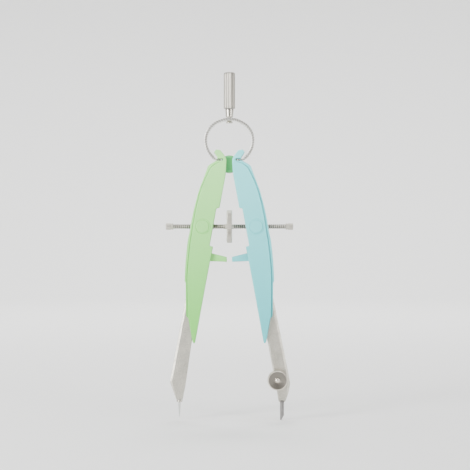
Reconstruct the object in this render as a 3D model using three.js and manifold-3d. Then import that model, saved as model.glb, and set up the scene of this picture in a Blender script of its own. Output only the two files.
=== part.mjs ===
// Ring-spring bow compass: two legs squeezed onto a roller by a spring ring, set by a threaded rod with a
// wheel at its middle. Millimetres. X runs across the legs, Y through their thickness (the front is -Y) and
// Z up. The origin is on the centre line, level with the tip of the lead.
// Both legs use the same numbers: u is the distance out from the centre line, so x = side * u.
import * as THREE from "three";
import { mergeVertices } from "three/addons/utils/BufferGeometryUtils.js";
import Module from "manifold-3d";

const wasm = await Module();
wasm.setup();

// ---------- driving dimensions ----------
const GAP = 0.3; // clearance between neighbouring pieces
const FAR = 40; // reach of a cutter that runs right through

const LEFT = -1;
const RIGHT = 1;

// grip, shank and ring
const GRIP_RADIUS = 2.85;
const GRIP_BOTTOM = 152.3;
const GRIP_TOP = 170.1;
const GRIP_CHAMFER = 0.6;
const GRIP_FLUTES = 20;
const FLUTE_DEPTH = 0.3;
const SHANK_RADIUS = 1.45; // inside the grip
const NECK_RADIUS = 1.75; // just above the ring
const NECK_TOP_RADIUS = 2.1; // just under the grip
const STEM_RADIUS = 1.0; // through the ring
const SHANK_ROOM = 2.6; // solid end of the grip above its bore
const FOOT_RADIUS = 1.7;
const FOOT_BOTTOM = 145.2;
const RING_HALF_WIDTH = 12.3; // to the outside of the strip
const RING_CENTRE = 136.9;
const RING_UPPER_HEIGHT = 11.0; // the ring is flatter above its centre
const RING_LOWER_HEIGHT = 12.3;
const RING_STRIP = 1.4;
const RING_DEPTH = 5.0;
const RING_END_DEG = 52; // angle below the horizontal at which the round stretch ends
const TONGUE_THICKNESS = 0.55;
const TONGUE_TIP = 4.7;
const HOOK_SLOT = { tip: 3.0, mouth: 6.3, low: 126.75, high: 127.85 };

// hinge
const HINGE_Z = 125.2;
const ROLLER_RADIUS = 4.3;
const ROLLER_HALF_LENGTH = 2.4;
const ROLLER_CHAMFER = 0.5;

// covers
const COVER_FACE = 3.8; // half the thickness of a leg
const COVER_INSIDE = 2.1; // half the depth of the cavity
const PARTING = 0.15; // each cover stops this far from the middle plane
const BOSS_RADIUS = 3.8;
const BOSS_RISE = 0.4;
const TONGUE_TOP = 67.3; // below this the covers lie on the bar with no outer wall

// metal bars
const BAR_HALF = 1.8;
const BAR_TOP = 72.5;

// spindle
const SPINDLE_Z = 94.7;
const ROD_RADIUS = 1.25;
const ROD_HALF_LENGTH = 29.6;
const WHEEL_RADIUS = 8;
const WHEEL_THICKNESS = 2.65;
const CAP_RADIUS = 1.65;
const CAP_START = 27.5;
const CAP_END = 31.2;
const CAP_CHAMFER = 0.25;
const JOURNAL_RADIUS = 0.9;

// nuts
const NUT_U = 13.1;
const NUT_RADIUS = 3.2;
const NUT_HALF = 1.8;
const TRUNNION_RADIUS = 1.5;
const TRUNNION_HALF = 2.85;
const SWING_ROOM = 3.5; // half the height of the slot that lets the rod tilt in a leg
const SWING_SLOT = { near: 2, far: 24, halfDepth: 1.65 };
const NUT_NOTCH = { halfWidth: 2.5, halfDepth: 1.1, bottom: 80 }; // room for the lever's finger

// quick-release levers
const LEVER_PIN_U = 16.3;
const LEVER_PIN_Z = 90.6;
const LEVER_PIN_RADIUS = 0.7;
const LEVER_PIN_HALF = 2.85; // half its length
const LEVER_HUB_RADIUS = 1.4;
const LEVER_NEAR = 0.2; // each lever keeps to its own side of the middle plane
const LEVER_FAR = 1.8;
const FINGER_HALF = 0.8;
const LEVER_MOUTH = { near: 6, far: 12, low: 75.6, high: 83.6 };
const LEAF_NEAR = 0.3; // the leaf spring under each lever
const LEAF_DEPTH = 1.4;

// screws that join the covers
const UPPER_SCREW = { u: 10.4, z: 108.4 };
const LOWER_SCREW = { u: 16.2, z: 69.4 };
const SCREW_RADIUS = 0.8;
const SCREW_HEAD_RADIUS = 1.6;
const SCREW_HEAD_DEPTH = 1.0;
const SCREW_TIP = 2.9;
const SCREW_SUNK = 0.1; // how far the head lies below the face
const SCREW_SLOT = { halfLength: 1.1, halfWidth: 0.2, depth: 0.6 };
const POST_RADIUS = 2.0;

// needle
const NEEDLE_U = 24.45;
const NEEDLE_RADIUS = 0.6;
const NEEDLE_TIP = 1.2;
const NEEDLE_TOP = 24;
const COLLET_RADIUS = 1.65;
const COLLET_BOTTOM = 8.8;
const NEEDLE_BAR_BOTTOM = 10.2;

// lead and its clamp
const LEAD_U = 25.75;
const LEAD_Y = 0.15;
const LEAD_RADIUS = 1.0;
const LEAD_TOP = 30;
const LEAD_UP = 4; // how far the lead can be pushed up into the leg
const LEAD_BEVEL = 2.1;
const LEAD_BORE = 1.28;
const JAW_TOP = 25.7;
const CLAMP_U = 23.4;
const CLAMP_Z = 20.0;
const KNOB_RADIUS = 4.9;
const KNOB_FRONT = 7.5;
const KNOB_BACK = 2.2;
const CLAMP_SHANK_RADIUS = 1.0;

// ---------- finishes ----------
const finish = (color, roughness, metalness) =>
  new THREE.MeshStandardMaterial({ color, roughness, metalness });

const mint = () => finish(0xc6e6bf, 0.42, 0);
const aqua = () => finish(0xb4d9db, 0.42, 0);
const green = () => finish(0x8fc79b, 0.5, 0);
const nickel = () => finish(0xd0ccc0, 0.28, 1);
const satin = () => finish(0xc3c0b6, 0.5, 1);
const steel = () => finish(0xb9b9b6, 0.35, 1);
const brass = () => finish(0xc9a55a, 0.4, 1);
const turned = () => finish(0x8f8b82, 0.35, 1);
const graphite = () => finish(0x4a4a4c, 0.6, 0.2);

// ---------- solids ----------
function toSolid(geometry) {
  const bare = geometry.index ? geometry.toNonIndexed() : geometry.clone();
  for (const name of Object.keys(bare.attributes)) {
    if (name !== "position") bare.deleteAttribute(name);
  }
  const merged = mergeVertices(bare, 1e-4);
  return new wasm.Manifold(
    new wasm.Mesh({
      numProp: 3,
      vertProperties: new Float32Array(merged.attributes.position.array),
      triVerts: new Uint32Array(merged.index.array),
    }),
  );
}

function toGeometry(solid) {
  const mesh = solid.getMesh();
  const geometry = new THREE.BufferGeometry();
  const positions = new Float32Array(mesh.numVert * 3);
  for (let i = 0; i < mesh.numVert; i++) {
    for (let k = 0; k < 3; k++) positions[3 * i + k] = mesh.vertProperties[mesh.numProp * i + k];
  }
  geometry.setAttribute("position", new THREE.BufferAttribute(positions, 3));
  geometry.setIndex(new THREE.BufferAttribute(new Uint32Array(mesh.triVerts), 1));
  const faceted = geometry.toNonIndexed();
  faceted.computeVertexNormals();
  return faceted;
}

const cut = (solid, ...cutters) => cutters.reduce((rest, cutter) => rest.subtract(cutter), solid);
const join = (solid, ...others) => others.reduce((sum, other) => sum.add(other), solid);

// An outline of [u, z] points on one side, given thickness from yFront to yBack.
function plate(side, outline, yFront, yBack) {
  const shape = new THREE.Shape(outline.map(([u, z]) => new THREE.Vector2(side * u, z)));
  const geometry = new THREE.ExtrudeGeometry(shape, { depth: yBack - yFront, bevelEnabled: false });
  geometry.rotateX(Math.PI / 2);
  geometry.translate(0, yBack, 0);
  return toSolid(geometry);
}

const rectangle = (uLow, uHigh, zLow, zHigh) => [
  [uLow, zLow],
  [uHigh, zLow],
  [uHigh, zHigh],
  [uLow, zHigh],
];

// A cylinder along Y.
function depthRod(x, z, radius, yFront, yBack, sides = 32) {
  const geometry = new THREE.CylinderGeometry(radius, radius, yBack - yFront, sides);
  geometry.translate(x, (yFront + yBack) / 2, z);
  return toSolid(geometry);
}

// A profile of [radius, height] points turned about the Z axis, its heights running along Z.
function turnedUp(profile, sides = 32) {
  const points = profile.map(([radius, height]) => new THREE.Vector2(radius, height));
  const geometry = new THREE.LatheGeometry(points, sides);
  geometry.rotateX(Math.PI / 2);
  return geometry;
}

// A cylinder along Z.
function uprightRod(x, y, radius, zLow, zHigh, sides = 24) {
  const geometry = new THREE.CylinderGeometry(radius, radius, zHigh - zLow, sides);
  geometry.rotateX(Math.PI / 2);
  geometry.translate(x, y, (zLow + zHigh) / 2);
  return toSolid(geometry);
}

// A cylinder along X on the spindle's axis.
function spindleRod(radius, xLow, xHigh, sides = 32) {
  const geometry = new THREE.CylinderGeometry(radius, radius, xHigh - xLow, sides);
  geometry.rotateZ(Math.PI / 2);
  geometry.translate((xLow + xHigh) / 2, 0, SPINDLE_Z);
  return toSolid(geometry);
}

const compass = new THREE.Group();
compass.name = "drawing_compass";

function add(name, shape, material, group = compass) {
  const geometry = shape.isBufferGeometry ? shape : toGeometry(shape);
  const mesh = new THREE.Mesh(geometry, material);
  mesh.name = name;
  group.add(mesh);
  return mesh;
}

// ---------- grip, shank and ring ----------
function gripSleeve() {
  const ring = [];
  const steps = GRIP_FLUTES * 4;
  for (let i = 0; i < steps; i++) {
    const angle = (2 * Math.PI * i) / steps;
    const dip = i % 4 === 0 ? FLUTE_DEPTH : 0;
    const radius = GRIP_RADIUS - dip;
    ring.push(new THREE.Vector2(radius * Math.cos(angle), radius * Math.sin(angle)));
  }
  const body = new THREE.ExtrudeGeometry(new THREE.Shape(ring), {
    depth: GRIP_TOP - GRIP_BOTTOM,
    bevelEnabled: false,
  });
  body.translate(0, 0, GRIP_BOTTOM);
  const envelope = turnedUp([
    [0, GRIP_BOTTOM - 1],
    [GRIP_RADIUS + 1, GRIP_BOTTOM - 1],
    [GRIP_RADIUS + 1, GRIP_TOP - GRIP_CHAMFER - 1],
    [GRIP_RADIUS - GRIP_CHAMFER, GRIP_TOP],
    [0, GRIP_TOP],
  ]);
  const bore = uprightRod(0, 0, SHANK_RADIUS + GAP, GRIP_BOTTOM - 1, GRIP_TOP - SHANK_ROOM);
  return toSolid(body).intersect(toSolid(envelope)).subtract(bore);
}

function handleShank() {
  const ringTop = RING_CENTRE + RING_UPPER_HEIGHT;
  const ringInside = ringTop - RING_STRIP;
  return turnedUp([
    [0, FOOT_BOTTOM],
    [FOOT_RADIUS, FOOT_BOTTOM],
    [FOOT_RADIUS - 0.5, ringInside - GAP],
    [STEM_RADIUS, ringInside - GAP],
    [STEM_RADIUS, ringTop + GAP],
    [NECK_RADIUS, ringTop + GAP],
    [NECK_TOP_RADIUS, GRIP_BOTTOM - GAP],
    [SHANK_RADIUS, GRIP_BOTTOM - GAP],
    [SHANK_RADIUS, GRIP_TOP - SHANK_ROOM - GAP],
    [0, GRIP_TOP - SHANK_ROOM - GAP],
  ]);
}

// The strip seen from the front: half ellipses above and below the ring's centre, open at the bottom, with
// extra added on both of its faces.
function ringStrip(extra) {
  const outside = [];
  const inside = [];
  const end = THREE.MathUtils.degToRad(RING_END_DEG);
  const steps = 44;
  for (let i = 0; i <= steps; i++) {
    const angle = -end + ((Math.PI + 2 * end) * i) / steps;
    const height = Math.sin(angle) > 0 ? RING_UPPER_HEIGHT : RING_LOWER_HEIGHT;
    const point = (inset) => [
      (RING_HALF_WIDTH - inset) * Math.cos(angle),
      RING_CENTRE + (height - inset) * Math.sin(angle),
    ];
    outside.push(point(-extra));
    inside.push(point(RING_STRIP + extra));
  }
  const depth = RING_DEPTH / 2 + extra;
  return plate(1, [...outside, ...inside.reverse()], -depth, depth);
}

// The hooked end of the strip, turned in to lie flat in a leg's slot.
function ringTongue(side, extra) {
  const end = THREE.MathUtils.degToRad(RING_END_DEG);
  const u = (RING_HALF_WIDTH - RING_STRIP / 2) * Math.cos(end);
  const z = RING_CENTRE - (RING_LOWER_HEIGHT - RING_STRIP / 2) * Math.sin(end);
  const half = TONGUE_THICKNESS / 2 + extra;
  const outline = [
    [u + 0.35, z + half + 0.1],
    [u - 0.9, z + half - 0.25],
    [TONGUE_TIP - extra, z + half - 0.25],
    [TONGUE_TIP - extra, z - half - 0.25],
    [u - 0.6, z - half - 0.25],
    [u + 0.2, z - half - 0.1],
  ];
  const depth = RING_DEPTH / 2 + extra;
  return plate(side, outline, -depth, depth);
}

function ringSpring() {
  const stemHole = uprightRod(0, 0, STEM_RADIUS + GAP, RING_CENTRE, RING_CENTRE + FAR);
  return cut(join(ringStrip(0), ringTongue(LEFT, 0), ringTongue(RIGHT, 0)), stemHole);
}

const ringRoom = () => join(ringStrip(GAP), ringTongue(LEFT, GAP), ringTongue(RIGHT, GAP));

function hingeRoller() {
  const rim = ROLLER_RADIUS - ROLLER_CHAMFER;
  const flat = ROLLER_HALF_LENGTH - ROLLER_CHAMFER;
  const geometry = new THREE.LatheGeometry(
    [
      [0, -ROLLER_HALF_LENGTH],
      [rim, -ROLLER_HALF_LENGTH],
      [ROLLER_RADIUS, -flat],
      [ROLLER_RADIUS, flat],
      [rim, ROLLER_HALF_LENGTH],
      [0, ROLLER_HALF_LENGTH],
    ].map(([radius, height]) => new THREE.Vector2(radius, height)),
    40,
  );
  geometry.translate(0, 0, HINGE_Z);
  return geometry;
}

// ---------- covers ----------
// The leg's outline in plastic: the hook over the ring's end, the shoulder, the long outer edge, the tongue
// that lies on the metal bar, and the inner edge with the recess that takes the wheel.
const COVER_OUTLINE = [
  [1.4, 127.7],
  [2.3, 129.3],
  [4.5, 132.15],
  [6.6, 132.25],
  [7.55, 130.9],
  [5.9, 128.6],
  [5.9, 127.1],
  [9.4, 125.1],
  [10.5, 124.1],
  [12.6, 118.3],
  [15.0, 112.2],
  [17.3, 103.6],
  [18.8, 95.9],
  [19.4, 91.9],
  [20.2, 88.7],
  [20.9, 83.2],
  [21.6, 75.0],
  [21.85, 68.0],
  [21.4, 67.3],
  [21.3, 57.4],
  [21.1, 50.9],
  [20.0, 50.0],
  [18.1, 39.2],
  [17.8, 38.1],
  [16.9, 37.6],
  [16.6, 38.8],
  [13.0, 58.7],
  [9.5, 77.6],
  [8.0, 84.8],
  [9.7, 85.3],
  [8.3, 93.0],
  [6.35, 103.6],
  [4.85, 103.9],
  [1.6, 121.2],
];

// The hollow between the covers. Below the tongue's top it opens outwards, where the bar leaves the covers.
const CAVITY_OUTLINE = [
  [4.8, 112.4],
  [6.2, 104.6],
  [7.7, 104.4],
  [9.6, 93.2],
  [11.1, 85.2],
  [9.6, 84.2],
  [10.8, 77.8],
  [14.3, 58.9],
  [16.7, 46.0],
  [15.0, 44.0],
  [15.0, 36.0],
  [26.0, 36.0],
  [26.0, TONGUE_TOP],
  [20.45, TONGUE_TOP],
  [20.4, 75.0],
  [19.6, 83.2],
  [18.9, 88.5],
  [18.1, 91.9],
  [17.5, 95.9],
  [16.0, 103.4],
  [13.8, 111.6],
  [12.9, 113.8],
];

// What one cover has before its front or back details: face = -1 is the front, +1 the back.
function coverShell(side, face) {
  const yFront = face < 0 ? -COVER_FACE : PARTING;
  const yBack = face < 0 ? -PARTING : COVER_FACE;
  const room = COVER_INSIDE;
  const pinPocket = LEVER_PIN_HALF + GAP;
  const post = ({ u, z }, low, high) => depthRod(side * u, z, POST_RADIUS, low, high, 20);
  const postLow = face < 0 ? -room : PARTING;
  const postHigh = face < 0 ? -PARTING : room;
  const shell = cut(
    plate(side, COVER_OUTLINE, yFront, yBack),
    plate(side, CAVITY_OUTLINE, -room, room),
    depthRod(0, HINGE_Z, ROLLER_RADIUS + GAP, -ROLLER_HALF_LENGTH - GAP, ROLLER_HALF_LENGTH + GAP, 40),
    ringRoom(),
    plate(side, rectangle(HOOK_SLOT.tip, HOOK_SLOT.mouth, HOOK_SLOT.low, HOOK_SLOT.high), -FAR, FAR),
    plate(
      side,
      rectangle(SWING_SLOT.near, SWING_SLOT.far, SPINDLE_Z - SWING_ROOM, SPINDLE_Z + SWING_ROOM),
      -SWING_SLOT.halfDepth,
      SWING_SLOT.halfDepth,
    ),
    plate(side, rectangle(LEVER_MOUTH.near, LEVER_MOUTH.far, LEVER_MOUTH.low, LEVER_MOUTH.high), -room, room),
    depthRod(side * NUT_U, SPINDLE_Z, TRUNNION_RADIUS + GAP, -TRUNNION_HALF - GAP, TRUNNION_HALF + GAP),
    depthRod(side * LEVER_PIN_U, LEVER_PIN_Z, LEVER_PIN_RADIUS + GAP, -pinPocket, pinPocket, 20),
  );
  return join(shell, post(UPPER_SCREW, postLow, postHigh));
}

function frontCover(side) {
  const boss = depthRod(side * NUT_U, SPINDLE_Z, BOSS_RADIUS, -COVER_FACE - BOSS_RISE, -COVER_FACE + 0.1);
  const screwHole = ({ u, z }) => depthRod(side * u, z, SCREW_RADIUS + GAP, -SCREW_TIP - GAP, 0, 20);
  return cut(join(coverShell(side, -1), boss), screwHole(UPPER_SCREW), screwHole(LOWER_SCREW));
}

function backCover(side) {
  const headFloor = COVER_FACE - SCREW_HEAD_DEPTH - GAP;
  const holes = [UPPER_SCREW, LOWER_SCREW].flatMap(({ u, z }) => [
    depthRod(side * u, z, SCREW_RADIUS + GAP, 0, COVER_FACE, 20),
    depthRod(side * u, z, SCREW_HEAD_RADIUS + GAP, headFloor, COVER_FACE + 1, 24),
  ]);
  return cut(coverShell(side, 1), ...holes);
}

function coverScrew(side, { u, z }) {
  const { halfLength, halfWidth, depth } = SCREW_SLOT;
  const top = COVER_FACE - SCREW_SUNK;
  const slot = plate(
    1,
    rectangle(side * u - halfLength, side * u + halfLength, z - halfWidth, z + halfWidth),
    COVER_FACE - depth,
    FAR,
  );
  const head = depthRod(
    side * u,
    z,
    SCREW_HEAD_RADIUS,
    COVER_FACE - SCREW_HEAD_DEPTH,
    top,
    24,
  );
  return cut(join(depthRod(side * u, z, SCREW_RADIUS, -SCREW_TIP, COVER_FACE - 0.5, 20), head), slot);
}

// ---------- metal bars ----------
const NEEDLE_BAR_OUTLINE = [
  [12.25, BAR_TOP],
  [18.9, BAR_TOP],
  [29.1, 18.9],
  [26.05, NEEDLE_BAR_BOTTOM],
  [22.85, NEEDLE_BAR_BOTTOM],
  [21.5, 17.05],
  [18.3, 39.1],
];

const LEAD_BAR_OUTLINE = [
  [12.25, BAR_TOP],
  [18.9, BAR_TOP],
  [28.5, 24.8],
  [29.8, 18.2],
  [29.0, 13.6],
  [27.5, 9.3],
  [26.7, 8.7],
  [24.6, 8.7],
  [24.0, 9.4],
  [23.1, 15.0],
  [21.2, 25.0],
  [18.6, 39.1],
];

const barScrewHole = (side) =>
  depthRod(side * LOWER_SCREW.u, LOWER_SCREW.z, SCREW_RADIUS + GAP, -FAR, FAR, 20);

function needleBar() {
  return cut(
    plate(LEFT, NEEDLE_BAR_OUTLINE, -BAR_HALF, BAR_HALF),
    uprightRod(-NEEDLE_U, 0, NEEDLE_RADIUS + GAP, 0, NEEDLE_TOP + GAP),
    barScrewHole(LEFT),
  );
}

function leadBar() {
  return cut(
    plate(RIGHT, LEAD_BAR_OUTLINE, -BAR_HALF, BAR_HALF),
    plate(RIGHT, rectangle(0, FAR, 0, JAW_TOP + GAP), LEAD_Y - GAP / 2, FAR),
    uprightRod(LEAD_U, LEAD_Y, LEAD_BORE, 0, LEAD_TOP + LEAD_UP + GAP),
    depthRod(CLAMP_U, CLAMP_Z, CLAMP_SHANK_RADIUS + GAP, -FAR, FAR),
    barScrewHole(RIGHT),
  );
}

function leadJaw() {
  const nose = plate(RIGHT, LEAD_BAR_OUTLINE, LEAD_Y + GAP / 2, BAR_HALF);
  return cut(
    nose.intersect(plate(RIGHT, rectangle(0, FAR, 0, JAW_TOP), -FAR, FAR)),
    uprightRod(LEAD_U, LEAD_Y, LEAD_BORE, 0, LEAD_TOP),
    depthRod(CLAMP_U, CLAMP_Z, CLAMP_SHANK_RADIUS + GAP, -FAR, FAR),
  );
}

// ---------- spindle ----------
function thumbWheel() {
  const half = WHEEL_THICKNESS / 2;
  const edge = 0.35;
  const geometry = new THREE.LatheGeometry(
    [
      [ROD_RADIUS + GAP, -half],
      [WHEEL_RADIUS - edge, -half],
      [WHEEL_RADIUS, -half + edge],
      [WHEEL_RADIUS, half - edge],
      [WHEEL_RADIUS - edge, half],
      [ROD_RADIUS + GAP, half],
      [ROD_RADIUS + GAP, -half],
    ].map(([radius, height]) => new THREE.Vector2(radius, height)),
    64,
  );
  geometry.rotateZ(Math.PI / 2);
  geometry.translate(0, 0, SPINDLE_Z);
  return geometry;
}

// The threaded rod, with a thinner journal at each end for its cap.
function spindle() {
  const thread = CAP_START - GAP;
  return join(
    spindleRod(ROD_RADIUS, -thread, thread),
    spindleRod(JOURNAL_RADIUS, -ROD_HALF_LENGTH, ROD_HALF_LENGTH),
  );
}

function endCap(side) {
  const geometry = new THREE.LatheGeometry(
    [
      [0, ROD_HALF_LENGTH + GAP],
      [JOURNAL_RADIUS + GAP, ROD_HALF_LENGTH + GAP],
      [JOURNAL_RADIUS + GAP, CAP_START],
      [CAP_RADIUS - CAP_CHAMFER, CAP_START],
      [CAP_RADIUS, CAP_START + CAP_CHAMFER],
      [CAP_RADIUS, CAP_END - CAP_CHAMFER],
      [CAP_RADIUS - CAP_CHAMFER, CAP_END],
      [0, CAP_END],
    ].map(([radius, height]) => new THREE.Vector2(radius, height)),
    32,
  );
  geometry.rotateZ((-side * Math.PI) / 2);
  geometry.translate(0, 0, SPINDLE_Z);
  return geometry;
}

// ---------- nuts and levers ----------
function swivelNut(side) {
  const x = side * NUT_U;
  const { halfWidth, halfDepth, bottom } = NUT_NOTCH;
  const notch = plate(
    side,
    rectangle(NUT_U - halfWidth, NUT_U + halfWidth, bottom, SPINDLE_Z),
    -halfDepth,
    halfDepth,
  );
  const barrel = join(
    depthRod(x, SPINDLE_Z, NUT_RADIUS, -NUT_HALF, NUT_HALF, 36),
    depthRod(x, SPINDLE_Z, TRUNNION_RADIUS, -TRUNNION_HALF, TRUNNION_HALF, 24),
  );
  return cut(barrel, spindleRod(ROD_RADIUS + GAP, -FAR, FAR), notch);
}

const LEVER_OUTLINE = [
  [17.5, 90.9],
  [18.0, 84.0],
  [17.5, 79.4],
  [16.4, 78.2],
  [14.0, 77.5],
  [8.8, 77.7],
  [1.25, 77.4],
  [1.25, 79.8],
  [8.8, 81.7],
  [13.2, 81.7],
  [14.8, 83.4],
  [15.1, 89.9],
];

const FINGER_OUTLINE = [
  [15.6, 91.4],
  [14.3, 92.8],
  [11.9, 92.8],
  [11.9, 91.2],
  [15.2, 89.6],
];

function releaseLever(side) {
  const yFront = side === LEFT ? -LEVER_FAR : LEVER_NEAR;
  const yBack = side === LEFT ? -LEVER_NEAR : LEVER_FAR;
  const x = side * LEVER_PIN_U;
  const body = join(
    plate(side, LEVER_OUTLINE, yFront, yBack),
    depthRod(x, LEVER_PIN_Z, LEVER_HUB_RADIUS, yFront, yBack, 24),
    plate(side, FINGER_OUTLINE, -FINGER_HALF, FINGER_HALF),
  );
  return cut(body, depthRod(x, LEVER_PIN_Z, LEVER_PIN_RADIUS + GAP, -FAR, FAR, 20));
}

const leverPin = (side) =>
  depthRod(side * LEVER_PIN_U, LEVER_PIN_Z, LEVER_PIN_RADIUS, -LEVER_PIN_HALF, LEVER_PIN_HALF, 20);

// A bent leaf that stands on the bar and presses the lever's arm up.
const SPRING_OUTLINE = [
  [19.0, 73.0],
  [13.4, 73.0],
  [11.6, 74.4],
  [11.6, 76.4],
  [12.6, 77.1],
  [13.2, 76.8],
  [12.0, 76.1],
  [12.0, 74.6],
  [13.6, 73.4],
  [19.0, 73.4],
];

function leverSpring(side) {
  const yFront = side === LEFT ? -LEAF_NEAR - LEAF_DEPTH : LEAF_NEAR;
  return plate(side, SPRING_OUTLINE, yFront, yFront + LEAF_DEPTH);
}

// ---------- needle, lead and clamp ----------
function needle() {
  const geometry = turnedUp(
    [
      [0, NEEDLE_TIP],
      [0.22, NEEDLE_TIP + 1.4],
      [0.48, NEEDLE_TIP + 4.4],
      [NEEDLE_RADIUS, COLLET_BOTTOM - 0.6],
      [NEEDLE_RADIUS, NEEDLE_TOP],
      [0, NEEDLE_TOP],
    ],
    20,
  );
  geometry.translate(-NEEDLE_U, 0, 0);
  return geometry;
}

function needleCollet() {
  const bore = NEEDLE_RADIUS + GAP;
  const top = NEEDLE_BAR_BOTTOM - GAP;
  const geometry = turnedUp([
    [bore, COLLET_BOTTOM],
    [COLLET_RADIUS - 0.3, COLLET_BOTTOM],
    [COLLET_RADIUS, COLLET_BOTTOM + 0.3],
    [COLLET_RADIUS, top],
    [bore, top],
    [bore, COLLET_BOTTOM],
  ]);
  geometry.translate(-NEEDLE_U, 0, 0);
  return geometry;
}

// A round lead ground flat on its outer side to a chisel tip.
function lead() {
  const flat = [
    [LEAD_U - 0.4, -0.02],
    [LEAD_U + 2, -0.02],
    [LEAD_U + 2, LEAD_BEVEL + 2.1],
  ];
  return cut(
    uprightRod(LEAD_U, LEAD_Y, LEAD_RADIUS, 0, LEAD_TOP, 28),
    plate(RIGHT, flat, -FAR, FAR),
  );
}

function clampScrew() {
  const rim = 0.55;
  const geometry = new THREE.LatheGeometry(
    [
      [0, -KNOB_FRONT],
      [KNOB_RADIUS - rim, -KNOB_FRONT],
      [KNOB_RADIUS, -KNOB_FRONT + rim],
      [KNOB_RADIUS, -KNOB_BACK - rim],
      [KNOB_RADIUS - rim, -KNOB_BACK],
      [CLAMP_SHANK_RADIUS, -KNOB_BACK],
      [CLAMP_SHANK_RADIUS, BAR_HALF - 0.4],
      [0, BAR_HALF - 0.4],
    ].map(([radius, height]) => new THREE.Vector2(radius, height)),
    48,
  );
  geometry.translate(CLAMP_U, 0, CLAMP_Z);
  return geometry;
}

// ---------- assembly ----------
add("grip_sleeve", gripSleeve(), nickel());
add("handle_shank", handleShank(), nickel());
add("ring_spring", ringSpring(), nickel());
add("hinge_roller", hingeRoller(), green());

for (const [hand, side, plastic] of [
  ["left", LEFT, mint],
  ["right", RIGHT, aqua],
]) {
  const leg = new THREE.Group();
  add(`${hand}_front_cover`, frontCover(side), plastic(), leg);
  add(`${hand}_back_cover`, backCover(side), plastic(), leg);
  add(`${hand}_upper_screw`, coverScrew(side, UPPER_SCREW), steel(), leg);
  add(`${hand}_lower_screw`, coverScrew(side, LOWER_SCREW), steel(), leg);
  add(`${hand}_leg_bar`, side === LEFT ? needleBar() : leadBar(), satin(), leg);
  add(`${hand}_swivel_nut`, swivelNut(side), brass(), leg);
  add(`${hand}_release_lever`, releaseLever(side), plastic(), leg);
  add(`${hand}_lever_pin`, leverPin(side), steel(), leg);
  add(`${hand}_lever_spring`, leverSpring(side), steel(), leg);
  add(`${hand}_end_cap`, endCap(side), nickel(), leg);
  compass.add(leg);
}

add("spindle_rod", spindle(), nickel());
add("thumb_wheel", thumbWheel(), nickel());
add("needle_collet", needleCollet(), nickel());
add("needle", needle(), steel());
add("lead_jaw", leadJaw(), satin());
add("lead", lead(), graphite());
add("clamp_screw", clampScrew(), turned());

export default compass;
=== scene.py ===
"""Ring-spring bow compass: the finished look of each piece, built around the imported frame.

Lengths are worked out in millimetres and turned into metres when a mesh is made. X runs across the legs, Y
through their thickness with the front at -Y, and Z up. A leg's outline is drawn once, as distance out from the
centre line and height, and used on both sides.
"""

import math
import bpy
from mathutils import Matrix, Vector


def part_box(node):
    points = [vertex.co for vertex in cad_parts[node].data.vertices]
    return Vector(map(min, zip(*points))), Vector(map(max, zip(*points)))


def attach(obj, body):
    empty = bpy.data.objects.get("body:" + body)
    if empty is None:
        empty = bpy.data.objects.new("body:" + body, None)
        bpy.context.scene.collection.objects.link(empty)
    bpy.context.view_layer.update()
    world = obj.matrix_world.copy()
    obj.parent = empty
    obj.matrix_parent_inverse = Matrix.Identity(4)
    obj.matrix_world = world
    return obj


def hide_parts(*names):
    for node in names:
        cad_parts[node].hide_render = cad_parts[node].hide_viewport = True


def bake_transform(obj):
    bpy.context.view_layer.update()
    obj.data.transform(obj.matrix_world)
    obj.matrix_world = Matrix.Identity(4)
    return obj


bl_info = {
    "name": "Bow Compass",
    "version": (1, 0, 0),
    "blender": (4, 5, 0),
    "location": "3D View > Sidebar > Compass",
    "description": "Builds the pieces and finishes of a ring-spring bow compass around its frame",
    "category": "Add Mesh",
}

import bmesh
import bpy
from mathutils import Vector
import numpy as np

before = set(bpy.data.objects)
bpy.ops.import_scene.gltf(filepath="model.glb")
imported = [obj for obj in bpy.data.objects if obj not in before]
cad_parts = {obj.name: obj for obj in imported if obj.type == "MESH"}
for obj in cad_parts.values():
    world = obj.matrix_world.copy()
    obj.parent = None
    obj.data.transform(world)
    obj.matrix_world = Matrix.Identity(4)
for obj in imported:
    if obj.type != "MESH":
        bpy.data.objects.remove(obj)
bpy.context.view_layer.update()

MM = 0.001
SIDES = (("left", -1.0), ("right", 1.0))
FULL = 99.0  # a corner reach that rounds as far as its edges allow


def box_mm(node):
    """Lowest and highest corner of a frame piece, in millimetres."""
    low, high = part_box(node)
    return np.array(low) / MM, np.array(high) / MM


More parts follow.
